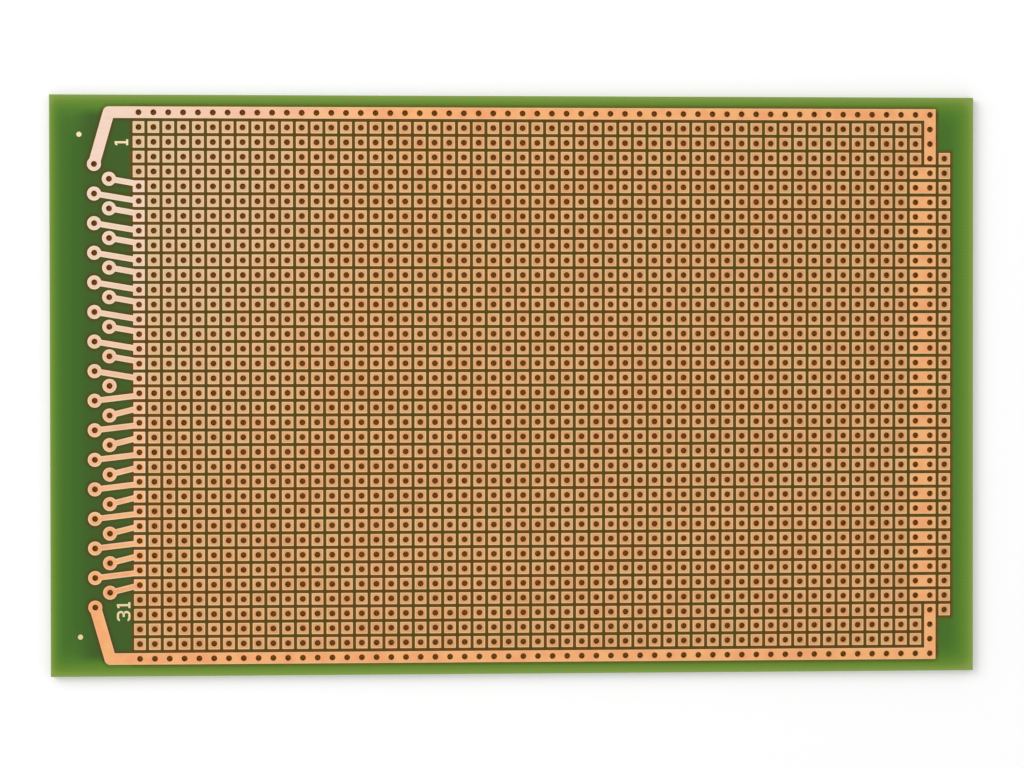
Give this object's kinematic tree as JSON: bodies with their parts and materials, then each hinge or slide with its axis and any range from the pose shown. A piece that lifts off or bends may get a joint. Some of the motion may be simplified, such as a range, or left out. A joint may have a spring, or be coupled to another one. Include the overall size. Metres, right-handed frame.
{
  "type": "prototype board",
  "caption": "Bare prototype board: green glass and epoxy laminate with a grid of square copper pads, bus rails along its long edges and a staggered contact row at one end.",
  "frame": {"origin": "centre of the board's underside", "axes": "+X along the board, away from the contact row; +Y across it, towards contact 1; +Z out of the copper side"},
  "size_m": [0.16, 0.1, 0.0016],
  "materials": {
    "laminate": "satin",
    "copper": "matte"
  },
  "bodies": {
    "root": {"bus_rail_back": "copper", "bus_rail_front": "copper", "contact_land_16": "copper", "contact_track_02": "copper", "contact_track_03": "copper", "contact_track_04": "copper", "contact_track_05": "copper", "contact_track_06": "copper", "contact_track_07": "copper", "contact_track_08": "copper", "contact_track_09": "copper", "contact_track_10": "copper", "contact_track_11": "copper", "contact_track_12": "copper", "contact_track_13": "copper", "contact_track_14": "copper", "contact_track_15": "copper", "contact_track_17": "copper", "contact_track_18": "copper", "contact_track_19": "copper", "contact_track_20": "copper", "contact_track_21": "copper", "contact_track_22": "copper", "contact_track_23": "copper", "contact_track_24": "copper", "contact_track_25": "copper", "contact_track_26": "copper", "contact_track_27": "copper", "contact_track_28": "copper", "contact_track_29": "copper", "contact_track_30": "copper", "end_pads": "copper", "laminate": "laminate", "link_pads": "copper", "pad_rows_01_to_03": "copper", "pad_rows_04_to_06": "copper", "pad_rows_07_to_09": "copper", "pad_rows_10_to_12": "copper", "pad_rows_13_to_15": "copper", "pad_rows_16_to_18": "copper", "pad_rows_19_to_21": "copper", "pad_rows_22_to_24": "copper", "pad_rows_25_to_27": "copper", "pad_rows_28_to_30": "copper", "pad_rows_31_to_33": "copper", "pad_rows_34_to_36": "copper", "screw_dots": "copper"}
  },
  "joints": []
}
